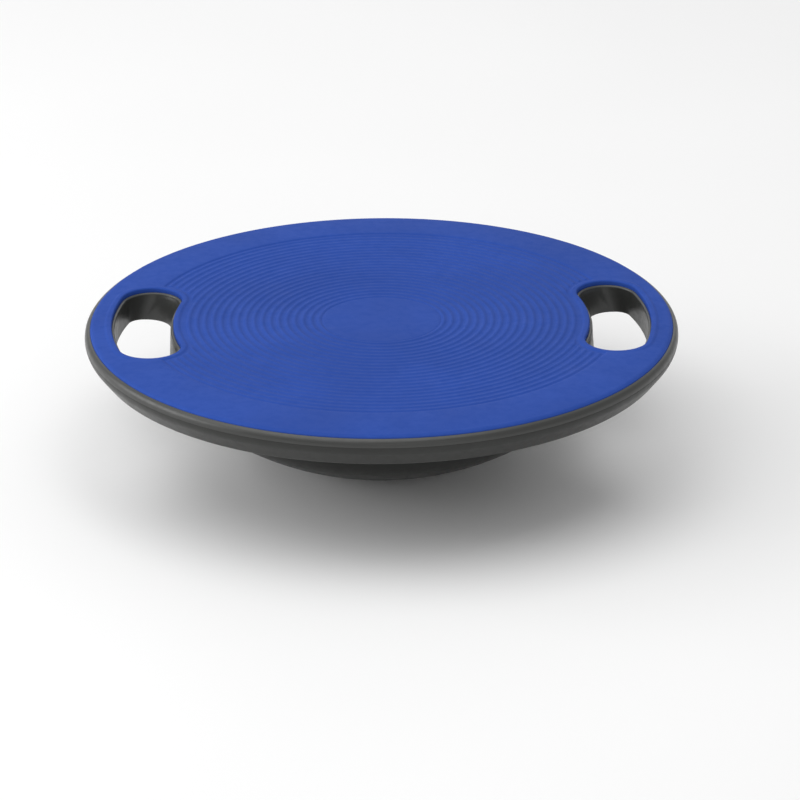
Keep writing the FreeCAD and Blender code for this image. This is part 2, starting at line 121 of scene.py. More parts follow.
# ---- deck shell
WALL = 3.0
PLATE_T = 3.2
PLATE_UNDER_Z = MAT_SEAT_Z - PLATE_T
LIP_ROUND_R = 4.5
LIP_ROUND_Z = BOARD_H - 7.6
LIP_SWELL = 0.1
LIP_EDGE_ROUND = 0.2
SEAM_CHAMFER = 0.15
EDGE_BEND = 0.3
TONGUE_R = 195.9
TONGUE_T = 2.7
TONGUE_DEPTH = 2.9
RIB_T = 2.0
RIB_COUNT = 24
RIB_INNER_R = 30.0
RIB_RING_RADII = (30.0, 78.0)
RIB_ROOT = 0.5
RIB_TOP_Z = PLATE_UNDER_Z + RIB_ROOT
OUTER_RIB_FOOT_GAP = 1.0
BRACE_FOOT_GAP = 1.5
BRACE_BOSS_GAP = 1.0

# ---- rim shell
BAND_ROUND_R = 9.0
BAND_ANGLE = math.radians(38)
FOOT_ROUND_R = 4.5
FOOT_INNER_R = 185.4
PANEL_TOP_Z = 80.0
PANEL_INNER_R = 132.1
PANEL_CHAMFER = 0.4
SOCKET_GAP = 0.3

# ---- rocker dome
DOME_R = 207.0
DOME_TIP_ANGLE = math.radians(1.5)
DOME_SPHERE_EDGE_R = 113.0
DOME_FLANK_R = 131.5
DOME_WALL = 3.5
DOME_RIB_T = 2.2
DOME_RIB_COUNT = 8
FLANGE_R = 140.6
FLANGE_NOTCH_X = 137.8

# ---- screws
SCREW_ANGLES = [math.radians(d) for d in (30, 60, 90, 120, 150, 210, 240, 270, 300, 330)]
DOME_SCREW_R = 136.3
RIM_SCREW_R = 168.0
CSK_R = 3.75
CLEARANCE_R = 2.15
BOSS_R = 4.25
PILOT_R = 2.0
POCKET_R = 4.4
POCKET_WALL = 1.6
POCKET_SEAT_Z = 83.5
POCKET_TOP_Z = 86.0

# ---- mesh density: columns round a circle, and rows at radii or half widths where a surface bends
ROUND_COLUMNS = 360
HOLE_COLUMNS = 32
LARGEST_HOLE_R = 20
COLUMNS_ALONG_SLOT = 30
COLUMNS_BETWEEN_SLOTS = 150
COLUMNS_NEAR_SLOT = (0, 0.4, 0.8, 1.2, 1.7, 2.4, 3.4, 5.0)
CENTRE_ROWS = (10, 20, 30, 36)
RING_ROWS = (-1, -0.8, -0.56, -0.28, 0, 0.28, 0.56, 0.8, 1)
BORDER_ROWS = (164, 166, 168, 170.5, 173, 175.5, 178, 180, 182, 184, 185.5, 189.5, 191)
BEAD_ROWS = (26.4, 26, 25.7, 25.4, 25.1, 24.8, 24.5, 24.2, 23.9, 23.6, 23.2, 22.8, 22.3)
CLOSEST_ROWS = 0.06
LONG_STEPS = 40
CORNER_STEPS = 14
END_STEPS = 6
WALL_STEPS = 16
CONE_STEPS = 6
SHARP_ANGLE = math.radians(35)

# ---- looks: linear RGB colours, and the depth in mm over which the painted highlight on the top edges fades
MAT_BLUE = (0.020, 0.067, 0.345)
DECK_GREY = (0.032, 0.033, 0.031)
DUST_GREY = 0.3
DUST_SHARE = 0.14
ZINC_BLUE = (0.52, 0.53, 0.55)
ZINC_YELLOW = (0.66, 0.66, 0.64)
FLOOR_LOW = (0.92, 0.92, 0.92)
FLOOR_HIGH = (0.94, 0.94, 0.94)
PAINTED_HIGHLIGHT_FADE = 1.2

# ---- stage, in metres and watts: name, place, size and power of each light
LIGHTS = (
    ("overhead", (-0.5, -0.3, 2.6), (3.0, 3.0), 38),
    ("left", (-2.5, 0.1, 1.05), (2.4, 1.4), 32),
    ("front", (0.4, -3.0, 1.2), (2.6, 1.0), 5),
    ("back", (0.2, 3.0, 1.3), (3.4, 1.0), 7),
)
WORLD_STRENGTH = 0.52
FLOOR_REACH = 20.0
FLOOR_CELLS = 8

# ---- camera, in metres and, for the lens and sensor, millimetres
VIEW_ELEVATION = math.radians(22.0)
VIEW_AZIMUTH = math.radians(-1.5)
VIEW_ROLL = math.radians(-0.3)
VIEW_DISTANCE = 3.2
VIEW_LENS = 213.6
VIEW_SENSOR = 36.0
AIM_RIGHT = 0.0121
AIM_DOWN = 0.0551


# ---------------------------------------------------------------- mesh helpers
class Surface:
    """Collects patches of points in millimetres and welds them into one mesh object in metres."""

    def __init__(self):
        self.points = []
        self.faces = []

    def add(self, point):
        self.points.append(point)
        return len(self.points) - 1

    def strip(self, rows, closed=True):
        """Quads between neighbouring rows, each row a list of points of the same length."""
        ids = [[self.add(p) for p in row] for row in rows]
        for low, high in zip(ids, ids[1:]):
            count = len(low) if closed else len(low) - 1
            for i in range(count):
                j = (i + 1) % len(low)
                self.faces.append((low[i], low[j], high[j], high[i]))

    def fan(self, centre, loop):
        """Triangles from one point to a closed loop."""
        middle = self.add(centre)
        ids = [self.add(p) for p in loop]
        for i, a in enumerate(ids):
            self.faces.append((middle, a, ids[(i + 1) % len(ids)]))

    def fin(self, outline, thickness, angle):
        """Upright closed plate: an outline of (radius, height) points, thickened, turned to an angle."""
        sides = []
        for offset in (-thickness / 2, thickness / 2):
            along = (math.cos(angle), math.sin(angle))
            side = []
            for r, z in outline:
                side.append((r * along[0] - offset * along[1], r * along[1] + offset * along[0], z))
            sides.append(side)
            self.plate([side])
        self.strip(sides)

    def tube(self, centre, outer_r, inner_r, low, high):
        """Upright closed tube between the heights low and high."""
        rings = [(outer_r, low), (outer_r, high), (inner_r, high), (inner_r, low), (outer_r, low)]
        count = ROUND_COLUMNS if inner_r > LARGEST_HOLE_R else HOLE_COLUMNS
        self.strip([hole_ring(centre, r, z, count) for r, z in rings])

    def plate(self, loops):
        """Flat face with an outer loop and any number of holes."""
        ids = [self.add(p) for loop in loops for p in loop]
        for triangle in tessellate_polygon([[Vector(p) for p in loop] for loop in loops]):
            self.faces.append(tuple(ids[k] for k in triangle))

    def build(self, name):
        """Mesh object with doubled points welded, normals outwards and sharp edges marked."""
        mesh = bpy.data.meshes.new(name)
        mesh.from_pydata([Vector(p) * MM for p in self.points], [], self.faces)
        bm = bmesh.new()
        bm.from_mesh(mesh)
        bmesh.ops.remove_doubles(bm, verts=bm.verts, dist=0.004 * MM)
        bmesh.ops.dissolve_degenerate(bm, edges=bm.edges, dist=0.0005 * MM)
        bmesh.ops.recalc_face_normals(bm, faces=bm.faces)
        open_edges = sum(1 for e in bm.edges if len(e.link_faces) != 2)
        bm.to_mesh(mesh)
        bm.free()
        print("%s: %d faces, %d open edges" % (name, len(mesh.polygons), open_edges))
        for face in mesh.polygons:
            face.use_smooth = True
        mesh.set_sharp_from_angle(angle=SHARP_ANGLE)
        piece = bpy.data.objects.new(name, mesh)
        bpy.context.scene.collection.objects.link(piece)
        return piece


def polar(radius, angle, z):
    """Point at a distance and angle from the board's axis."""
    return (radius * math.cos(angle), radius * math.sin(angle), z)


def ring(radius, z):
    """Full circle about the board's axis."""
    return [polar(radius, 2 * math.pi * k / ROUND_COLUMNS, z) for k in range(ROUND_COLUMNS)]


def hole_ring(centre, radius, z, count=HOLE_COLUMNS):
    """Small circle about an upright axis through centre."""
    points = [polar(radius, 2 * math.pi * k / count, z) for k in range(count)]
    return [(centre[0] + x, centre[1] + y, height) for x, y, height in points]


def profile_arc(centre, radius, start, end, count):
    """Points (r, z) along an arc of a turned profile, both ends included; angles from +r towards +z."""
    angles = [start + (end - start) * k / count for k in range(count + 1)]
    return [(centre[0] + radius * math.cos(a), centre[1] + radius * math.sin(a)) for a in angles]


def fuse(piece, tool, name):
    """Joins a closed tool mesh into the piece, and removes the tool."""
    modifier = piece.modifiers.new(name, "BOOLEAN")
    modifier.operation = "UNION"
    modifier.solver = "EXACT"
    modifier.use_self = True
    modifier.object = tool
    evaluated = piece.evaluated_get(bpy.context.evaluated_depsgraph_get())
    joined = bpy.data.meshes.new_from_object(evaluated)
    piece.modifiers.clear()
    piece.data = joined
    joined.set_sharp_from_angle(angle=SHARP_ANGLE)
    bpy.data.objects.remove(tool)


def smooth_step(t):
    """Soft rise from 0 at t = 0 to 1 at t = 1."""
    t = min(1.0, max(0.0, t))
    return t * t * (3 - 2 * t)


# ---------------------------------------------------------------- anti-slip mat
def slot_distance(x, y):
    """Distance from the arc that runs along the middle of the nearer handle opening."""
    x, y = abs(x), abs(y)
    if math.atan2(y, x) <= SLOT_HALF_ANGLE:
        return abs(math.hypot(x, y) - SLOT_R)
    return math.hypot(x - SLOT_R * math.cos(SLOT_HALF_ANGLE), y - SLOT_R * math.sin(SLOT_HALF_ANGLE))


def ridge_height(radius):
    """Height of the concentric ridges over the field, 0 between them."""
    index = round((radius - RING_FIRST_R) / RING_PITCH)
    if not 0 <= index < RING_COUNT:
        return 0.0
    t = abs(radius - RING_FIRST_R - index * RING_PITCH) / RING_HALF_W
    return RING_H * (1 - t ** RING_CROWN_POWER) ** RING_FLANK_POWER if t < 1 else 0.0


def border_height(radius):
    """Top of the mat without ridges: centre disc, field, step and crowned border."""
    if radius <= CENTRE_DISC_R + CENTRE_DISC_EDGE_HALF_W:
        past_edge = radius - CENTRE_DISC_R + CENTRE_DISC_EDGE_HALF_W
        fall = smooth_step(past_edge / (2 * CENTRE_DISC_EDGE_HALF_W))
        return MAT_CENTRE_Z + (MAT_FIELD_Z - MAT_CENTRE_Z) * fall
    if radius <= BORDER_STEP_R:
        return MAT_FIELD_Z
    crest_drop = (BORDER_CREST_R - radius) / (BORDER_EDGE_R - BORDER_CREST_R)
    crown = BOARD_H - BORDER_EDGE_DROP * crest_drop ** 2
    return MAT_FIELD_Z + (crown - MAT_FIELD_Z) * smooth_step((radius - BORDER_STEP_R) / BORDER_STEP_W)


def mat_height(x, y):
    """Top of the mat, with its ridges and the raised bead round each handle opening."""
    radius = math.hypot(x, y)
    from_slot = slot_distance(x, y)
    ridge = ridge_height(radius) * smooth_step((from_slot - SLOT_CLEAR_W) / RING_END_TAPER)
    base = border_height(radius) + ridge
    bead = smooth_step((BEAD_FOOT_W - from_slot) / (BEAD_FOOT_W - BEAD_CREST_W))
    return base + (BOARD_H - base) * bead


def mat_rows():
    """Radii of the mesh rows: dense over each ridge and step, sparse on the flats."""
    radii = list(CENTRE_ROWS)
    radii += [CENTRE_DISC_R + CENTRE_DISC_EDGE_HALF_W * t for t in (-1, -0.5, 0, 0.5, 1)]
    for i in range(RING_COUNT):
        crest = RING_FIRST_R + i * RING_PITCH
        radii += [crest + RING_HALF_W * t for t in RING_ROWS]
    radii += [BORDER_STEP_R + BORDER_STEP_W * t for t in (0, 0.2, 0.4, 0.6, 0.8, 1)]
    radii += list(BORDER_ROWS)
    inner, outer = SLOT_R - SLOT_CLEAR_W, SLOT_R + SLOT_CLEAR_W
    for degrees in range(0, 50, 6):
        rise = SLOT_CLEAR_W * (1 - math.cos(math.radians(degrees)))
        radii += [inner + rise, outer - rise]
    radii.append(BORDER_EDGE_R)
    rows = []
    for r in sorted(radii):
        if not rows or r - rows[-1] > CLOSEST_ROWS:
            rows.append(r)
        elif r in (inner, outer):
            rows[-1] = r
    return rows


def column_fractions():
    """Places of the columns from one opening round to the other: dense at both ends, 0 to 1."""
    span = SLOT_R * (math.pi - 2 * SLOT_HALF_ANGLE)
    ends = [d / span for d in COLUMNS_NEAR_SLOT]
    first = ends[-1]
    middle = [first + (1 - 2 * first) * k / COLUMNS_BETWEEN_SLOTS for k in range(1, COLUMNS_BETWEEN_SLOTS)]
    return ends + middle + [1 - e for e in reversed(ends)]


def slot_end_angle(radius):
    """Angle at which the cleared outline round an opening crosses a circle about the axis."""
    reach = (radius ** 2 + SLOT_R ** 2 - SLOT_CLEAR_W ** 2) / (2 * SLOT_R * radius)
    return SLOT_HALF_ANGLE + math.acos(min(1.0, reach))


def along_slot():
    """Angles of the columns along the middle arc of an opening."""
    step = 2 * SLOT_HALF_ANGLE / COLUMNS_ALONG_SLOT
    return [-SLOT_HALF_ANGLE + step * k for k in range(COLUMNS_ALONG_SLOT + 1)]


def circle_angles(fractions):
    """Columns of a full circle, starting at the +X opening."""
    side = [SLOT_HALF_ANGLE + (math.pi - 2 * SLOT_HALF_ANGLE) * f for f in fractions]
    half = along_slot() + side[1:-1]
    return half + [a + math.pi for a in half]


def slot_spokes(radii):
    """Foot on the middle arc, and direction, of a spoke to each point of the +X opening's outline."""
    spokes = []
    for a in along_slot():
        spokes.append((polar(SLOT_R, a, 0), (-math.cos(a), -math.sin(a))))
    end = polar(SLOT_R, SLOT_HALF_ANGLE, 0)
    side = []
    for r in radii[1:-1]:
        x, y, _ = polar(r, slot_end_angle(r), 0)
        side.append((end, ((x - end[0]) / SLOT_CLEAR_W, (y - end[1]) / SLOT_CLEAR_W)))
    spokes += side
    for a in reversed(along_slot()):
        spokes.append((polar(SLOT_R, a, 0), (math.cos(a), math.sin(a))))
    for foot, way in reversed(side):
        spokes.append(((foot[0], -foot[1], 0), (way[0], -way[1])))
    return spokes


def spoke_loop(spokes, width, height):
    """Loop at one half width from the middle arc; height is a number, or a function of x and y."""
    loop = []
    for foot, way in spokes:
        x, y = foot[0] + way[0] * width, foot[1] + way[1] * width
        loop.append((x, y, height(x, y) if callable(height) else height))
    return loop


def turned_about(points):
    """The same points on the other side of the board."""
    return [(-x, -y, z) for x, y, z in points]


def make_mat():
    """Mat with ridges, crowned border, rolled edge, a bead round each opening and a key underneath."""
    surface = Surface()
    fractions = column_fractions()
    rows = mat_rows()
    inner, outer = SLOT_R - SLOT_CLEAR_W, SLOT_R + SLOT_CLEAR_W
    full = circle_angles(fractions)

    def circle(radius, height=None):
        points = []
        for a in full:
            x, y, _ = polar(radius, a, 0)
            points.append((x, y, mat_height(x, y) if height is None else height))
        return points

    inside = [r for r in rows if r <= inner]
    between = [r for r in rows if inner <= r <= outer]
    outside = [r for r in rows if r >= outer]
    surface.fan((0, 0, MAT_CENTRE_Z), circle(inside[0]))
    surface.strip([circle(r) for r in inside])
    sector = []
    for r in between:
        start = slot_end_angle(r)
        sweep = math.pi - 2 * start
        row = []
        for f in fractions:
            x, y, _ = polar(r, start + sweep * f, 0)
            row.append((x, y, mat_height(x, y)))
        sector.append(row)
    surface.strip(sector, closed=False)
    surface.strip([turned_about(row) for row in sector], closed=False)

    edge = [circle(r) for r in outside]
    roll_r = MAT_R - BORDER_EDGE_R
    roll_z = BOARD_H - BORDER_EDGE_DROP - MAT_SEAT_Z
    for k in range(1, 9):
        a = math.radians(90 * k / 8)
        edge.append(circle(BORDER_EDGE_R + roll_r * math.sin(a), MAT_SEAT_Z + roll_z * math.cos(a)))
    edge.append(circle(MAT_R, MAT_SEAT_Z - KEY_DEPTH))
    edge.append(circle(MAT_R - KEY_W, MAT_SEAT_Z - KEY_DEPTH))
    edge.append(circle(MAT_R - KEY_W, MAT_SEAT_Z))
    surface.strip(edge)

    spokes = slot_spokes(between)
    loops = [spoke_loop(spokes, w, mat_height) for w in (SLOT_CLEAR_W,) + BEAD_ROWS]
    for k in range(1, 11):
        a = math.radians(90 * k / 10)
        width = MAT_SLOT_HALF_W + MAT_EDGE_ROUND_W * (1 - math.sin(a))
        loops.append(spoke_loop(spokes, width, BOARD_H - MAT_EDGE_ROUND_H * (1 - math.cos(a))))
    loops.append(spoke_loop(spokes, MAT_SLOT_HALF_W, MAT_SEAT_Z))
    surface.strip(loops)
    surface.strip([turned_about(loop) for loop in loops])
    surface.plate([circle(MAT_R - KEY_W, MAT_SEAT_Z), loops[-1], turned_about(loops[-1])])
    return surface.build("mat")


# ---------------------------------------------------------------- handle opening outlines
def arc_points(centre, radius, start, end, count):
    """Points along an arc in plan, without its last one."""
    angles = [start + (end - start) * k / count for k in range(count)]
    return [(centre[0] + radius * math.cos(a), centre[1] + radius * math.sin(a)) for a in angles]


def straight_points(start, end, count):
    """Points along a straight stretch in plan, without its last one."""
    return [tuple(a + (b - a) * k / count for a, b in zip(start, end)) for k in range(count)]


def slot_outline(half_w):
    """Curved slot in plan: arcs about the board's axis, closed by full round ends."""
    a, split, full = SLOT_HALF_ANGLE, SLOT_END_SPLIT, math.pi
    cx, cy = SLOT_R * math.cos(a), SLOT_R * math.sin(a)
    outline = arc_points((0, 0), SLOT_R + half_w, -a, a, LONG_STEPS)
    bends = [(0, split, CORNER_STEPS), (split, full - split, END_STEPS), (full - split, full, CORNER_STEPS)]
    for low, high, count in bends:
        outline += arc_points((cx, cy), half_w, a + low, a + high, count)
    outline += arc_points((0, 0), SLOT_R - half_w, a, -a, LONG_STEPS)
    for low, high, count in bends:
        outline += arc_points((cx, -cy), half_w, low - full - a, high - full - a, count)
    return outline


def mouth_outline(offset):
    """Lower mouth in plan: straight inner side and ends, outer side curved about the axis."""
    x_in, y_end, r_out = MOUTH_INNER_X - offset, MOUTH_END_Y + offset, MOUTH_OUTER_R + offset
    inner_r, outer_r = MOUTH_INNER_CORNER_R + offset, MOUTH_OUTER_CORNER_R + offset
    outer_y = y_end - outer_r
    outer_x = math.sqrt((r_out - outer_r) ** 2 - outer_y ** 2)
    inner_x, inner_y = x_in + inner_r, y_end - inner_r
    a, quarter = math.atan2(outer_y, outer_x), math.pi / 2
    outline = arc_points((0, 0), r_out, -a, a, LONG_STEPS)
    outline += arc_points((outer_x, outer_y), outer_r, a, quarter, CORNER_STEPS)
    outline += straight_points((outer_x, y_end), (inner_x, y_end), END_STEPS)
    outline += arc_points((inner_x, inner_y), inner_r, quarter, 2 * quarter, CORNER_STEPS)
    outline += straight_points((x_in, inner_y), (x_in, -inner_y), LONG_STEPS)
    outline += arc_points((inner_x, -inner_y), inner_r, 2 * quarter, 3 * quarter, CORNER_STEPS)
    outline += straight_points((inner_x, -y_end), (outer_x, -y_end), END_STEPS)
    outline += arc_points((outer_x, -outer_y), outer_r, 3 * quarter, 4 * quarter - a, CORNER_STEPS)
    return outline


def opening_loop(offset, z):
    """Outline of the +X opening grown by offset at height z, between the slot above and the mouth below."""
    down = min(1.0, max(0.0, (MAT_SEAT_Z - z) / (MAT_SEAT_Z - PANEL_Z)))
    pairs = zip(slot_outline(SLOT_HALF_W + offset), mouth_outline(offset))
    return [(a[0] + (b[0] - a[0]) * down, a[1] + (b[1] - a[1]) * down, z) for a, b in pairs]


def flat_slot(half_w, z):
    """Outline of the +X slot at one height."""
    return [(x, y, z) for x, y in slot_outline(half_w)]


def both_sides(loop):
    """A loop round the +X opening and the same loop round the other."""
    return [loop, turned_about(loop)]


# ---------------------------------------------------------------- deck shell
def band_inside_r(z):
    """Radius of the rim band's inner face, which the deck's ribs stay clear of."""
    cone_r = RIM_R - BAND_ROUND_R * (1 - math.cos(BAND_ANGLE))
    cone_z = SEAM_Z - SEAM_CHAMFER - BAND_ROUND_R * math.sin(BAND_ANGLE)
    return cone_r - (cone_z - z) * math.tan(BAND_ANGLE) - WALL / math.cos(BAND_ANGLE)


def deck_rib_tool():
    """Ribs and screw bosses under the plate, as closed solids that overlap it a little."""
    tool = Surface()
    split_r = FLANGE_R + FIT_GAP
    end_r = TONGUE_R - TONGUE_T / 2
    foot_z = PANEL_TOP_Z + OUTER_RIB_FOOT_GAP
    foot_r = band_inside_r(foot_z) - SOCKET_GAP
    bend_z = foot_z + (end_r - foot_r) / math.tan(BAND_ANGLE)
    start = [(RIB_INNER_R, RIB_TOP_Z), (RIB_INNER_R, FLANGE_TOP_Z)]
    end = [(foot_r, foot_z), (end_r, bend_z), (end_r, RIB_TOP_Z)]
    whole = start + [(split_r, FLANGE_TOP_Z), (split_r, foot_z)] + end
    inner_wall_r = SLOT_R - SLOT_HALF_W - WALL / 4
    inner_part = start + [(inner_wall_r, FLANGE_TOP_Z), (inner_wall_r, RIB_TOP_Z)]
    outer_wall_r = MOUTH_OUTER_R + WALL / 2
    outer_part = [(outer_wall_r, RIB_TOP_Z), (outer_wall_r, foot_z)] + end
    for i in range(RIB_COUNT):
        a = (i + 0.5) * 2 * math.pi / RIB_COUNT
        crosses_opening = abs(math.sin(a)) < math.sin(SLOT_HALF_ANGLE)
        for outline in ([inner_part, outer_part] if crosses_opening else [whole]):
            tool.fin(outline, RIB_T, a)
    for ring_r in RIB_RING_RADII + (DOME_FLANK_R - DOME_WALL / 2,):
        tool.tube((0, 0), ring_r + RIB_T / 2, ring_r - RIB_T / 2, FLANGE_TOP_Z, RIB_TOP_Z)
    brace_r = RIM_SCREW_R + PILOT_R + BRACE_BOSS_GAP
    brace_z = POCKET_TOP_Z + BRACE_FOOT_GAP
    brace = [(brace_r, brace_z), (end_r, brace_z), (end_r, RIB_TOP_Z), (brace_r, RIB_TOP_Z)]
    for a in SCREW_ANGLES:
        tool.tube(polar(DOME_SCREW_R, a, 0), BOSS_R, PILOT_R, FLANGE_TOP_Z, RIB_TOP_Z)
        tool.tube(polar(RIM_SCREW_R, a, 0), BOSS_R, PILOT_R, POCKET_TOP_Z, RIB_TOP_Z)
        tool.fin(brace, RIB_T, a)
    return tool.build("deck_ribs")


def deck_rim_profile():
    """Turned outline from the key groove over the rounded lip and the seam to the foot of the tongue."""
    groove_r = MAT_R - KEY_W
    groove_z = MAT_SEAT_Z - KEY_DEPTH
    lip_inner_r = MAT_R + FIT_GAP
    lip_centre = (RIM_R - LIP_SWELL - LIP_ROUND_R, LIP_ROUND_Z)
    lip_start = math.acos((lip_inner_r + LIP_EDGE_ROUND - lip_centre[0]) / LIP_ROUND_R)
    side = profile_arc(lip_centre, LIP_ROUND_R, lip_start, 0, 16)
    side_top_z = side[0][1]
    edge_bend = EDGE_BEND * LIP_EDGE_ROUND
    seam_bend = EDGE_BEND * SEAM_CHAMFER
    tongue_inner_r = TONGUE_R - TONGUE_T
    tongue_z = SEAM_Z - TONGUE_DEPTH
    profile = [(groove_r, MAT_SEAT_Z), (groove_r, groove_z), (lip_inner_r, groove_z)]
    profile += [(lip_inner_r, side_top_z - LIP_EDGE_ROUND), (lip_inner_r + edge_bend, side_top_z - edge_bend)]
    profile += side
    profile += [(RIM_R, SEAM_Z + SEAM_CHAMFER), (RIM_R - seam_bend, SEAM_Z + seam_bend)]
    profile += [(RIM_R - SEAM_CHAMFER, SEAM_Z), (TONGUE_R, SEAM_Z), (TONGUE_R, tongue_z)]
    profile += [(tongue_inner_r, tongue_z), (tongue_inner_r, PLATE_UNDER_Z)]
    return profile


def deck_collar():
    """Loops round the +X opening: lip, wall down to the mouth, rounded mouth edge and back up outside."""
    crest_centre = (SLOT_LIP_HALF_W - SLOT_LIP_OUTER_ROUND, SLOT_LIP_Z - SLOT_LIP_OUTER_ROUND)
    round_centre = (SLOT_HALF_W + SLOT_LIP_ROUND, SLOT_LIP_Z - SLOT_LIP_ROUND)
    crest = profile_arc(crest_centre, SLOT_LIP_OUTER_ROUND, 0, math.pi / 2, 4)
    crest += profile_arc(round_centre, SLOT_LIP_ROUND, math.pi / 2, math.pi, 8)
    collar = [flat_slot(SLOT_LIP_HALF_W, MAT_SEAT_Z)]
    collar += [flat_slot(w, z) for w, z in crest]
    wall_top_z = round_centre[1]
    wall_low_z = PANEL_Z + MOUTH_EDGE_ROUND
    for k in range(1, WALL_STEPS + 1):
        collar.append(opening_loop(0, wall_top_z - (wall_top_z - wall_low_z) * k / WALL_STEPS))
    for degrees in (30, 60, 90):
        a = math.radians(degrees)
        offset = MOUTH_EDGE_ROUND * (1 - math.cos(a))
        collar.append(opening_loop(offset, wall_low_z - MOUTH_EDGE_ROUND * math.sin(a)))
    collar += [opening_loop(WALL, PANEL_Z), opening_loop(WALL, PLATE_UNDER_Z)]
    return collar


def make_deck():
    surface = Surface()
    profile = deck_rim_profile()
    surface.strip([ring(r, z) for r, z in profile])
    collar = deck_collar()
    surface.strip(collar)
    surface.strip([turned_about(loop) for loop in collar])
    surface.plate([ring(*profile[0])] + both_sides(collar[0]))
    surface.plate([ring(*profile[-1])] + both_sides(collar[-1]))
    deck = surface.build("deck")
    fuse(deck, deck_rib_tool(), "ribs")
    return deck


# ---------------------------------------------------------------- rim shell
def band_profile():
    """Turned outline of the band: seam edge, shoulder, cone, rounded foot and step up to the panel."""
    shoulder_centre = (RIM_R - BAND_ROUND_R, SEAM_Z - SEAM_CHAMFER)
    shoulder = profile_arc(shoulder_centre, BAND_ROUND_R, 0, -BAND_ANGLE, 10)
    cone_r, cone_z = shoulder[-1]
    cone_end_z = FOOT_Z + FOOT_ROUND_R * (1 - math.sin(BAND_ANGLE))
    cone_end_r = cone_r - (cone_z - cone_end_z) * math.tan(BAND_ANGLE)
    foot_centre = (cone_end_r - FOOT_ROUND_R * math.cos(BAND_ANGLE), FOOT_Z + FOOT_ROUND_R)
    foot = profile_arc(foot_centre, FOOT_ROUND_R, -BAND_ANGLE, -math.pi / 2, 10)
    cone = []
    for k in range(1, CONE_STEPS):
        t = k / CONE_STEPS
        cone.append((cone_r + (cone_end_r - cone_r) * t, cone_z + (cone_end_z - cone_z) * t))
    inside = profile_arc((FOOT_INNER_R, PANEL_Z), PANEL_Z - FOOT_Z, -math.pi / 2, -math.pi, 6)
    seam_bend = EDGE_BEND * SEAM_CHAMFER
    seam_edge = [(RIM_R - SEAM_CHAMFER, SEAM_Z), (RIM_R - seam_bend, SEAM_Z - seam_bend)]
    return seam_edge + shoulder + cone + foot + inside


def make_rim():
    surface = Surface()
    profile = band_profile()
    surface.strip([ring(r, z) for r, z in profile])
    panel_low_r = profile[-1][0]

    gap = WALL + SOCKET_GAP
    openings_low = both_sides(opening_loop(gap + PANEL_CHAMFER, PANEL_Z))
    openings_edge = both_sides(opening_loop(gap, PANEL_Z + PANEL_CHAMFER))
    openings_high = both_sides(opening_loop(gap, PANEL_TOP_Z))
    for loops in zip(openings_low, openings_edge, openings_high):
        surface.strip(list(loops))
    pocket_low_r = POCKET_R + PANEL_CHAMFER
    pocket_outer_r = POCKET_R + POCKET_WALL
    pocket = [(pocket_low_r, PANEL_Z), (POCKET_R, PANEL_Z + PANEL_CHAMFER), (POCKET_R, POCKET_SEAT_Z),
              (CLEARANCE_R, POCKET_SEAT_Z), (CLEARANCE_R, POCKET_TOP_Z),
              (pocket_outer_r, POCKET_TOP_Z), (pocket_outer_r, PANEL_TOP_Z)]
    centres = [polar(RIM_SCREW_R, a, 0) for a in SCREW_ANGLES]
    for centre in centres:
        surface.strip([hole_ring(centre, r, z) for r, z in pocket])
    low_holes = [hole_ring(centre, pocket_low_r, PANEL_Z) for centre in centres]
    high_holes = [hole_ring(centre, pocket_outer_r, PANEL_TOP_Z) for centre in centres]
    middle = ring(PANEL_INNER_R + PANEL_CHAMFER, PANEL_Z)
    surface.plate([ring(panel_low_r, PANEL_Z), middle] + openings_low + low_holes)
    middle_high = ring(PANEL_INNER_R, PANEL_TOP_Z)
    surface.strip([middle, ring(PANEL_INNER_R, PANEL_Z + PANEL_CHAMFER), middle_high])
    panel_high_r = band_inside_r(PANEL_TOP_Z)
    surface.plate([ring(panel_high_r, PANEL_TOP_Z), middle_high] + openings_high + high_holes)
    socket_r = TONGUE_R + SOCKET_GAP
    socket_z = PANEL_TOP_Z + (socket_r - panel_high_r) / math.tan(BAND_ANGLE)
    socket = [(panel_high_r, PANEL_TOP_Z), (socket_r, socket_z), (socket_r, SEAM_Z), profile[0]]
    surface.strip([ring(r, z) for r, z in socket])
    return surface.build("rim")


# ---------------------------------------------------------------- rocker dome
def dome_profile(inset):
    """Outline of the dome moved inwards: sphere arc from near the axis, then flank arc up to the vertical."""
    edge_angle = -math.acos(DOME_SPHERE_EDGE_R / DOME_R)
    flank_r = (DOME_FLANK_R - DOME_SPHERE_EDGE_R) / (1 - math.cos(edge_angle))
    to_centre = DOME_R - flank_r
    flank_centre = (to_centre * math.cos(edge_angle), DOME_R + to_centre * math.sin(edge_angle))
    sphere = profile_arc((0, DOME_R), DOME_R - inset, DOME_TIP_ANGLE - math.pi / 2, edge_angle, 36)
    return sphere + profile_arc(flank_centre, flank_r - inset, edge_angle, 0, 18)[1:]


def flange_ring(z):
    """Edge of the flange, flattened where the handle openings pass it."""
    loop = []
    for k in range(ROUND_COLUMNS):
        a = 2 * math.pi * k / ROUND_COLUMNS
        reach = FLANGE_NOTCH_X / max(abs(math.cos(a)), 0.01)
        loop.append(polar(min(FLANGE_R, reach), a, z))
    return loop


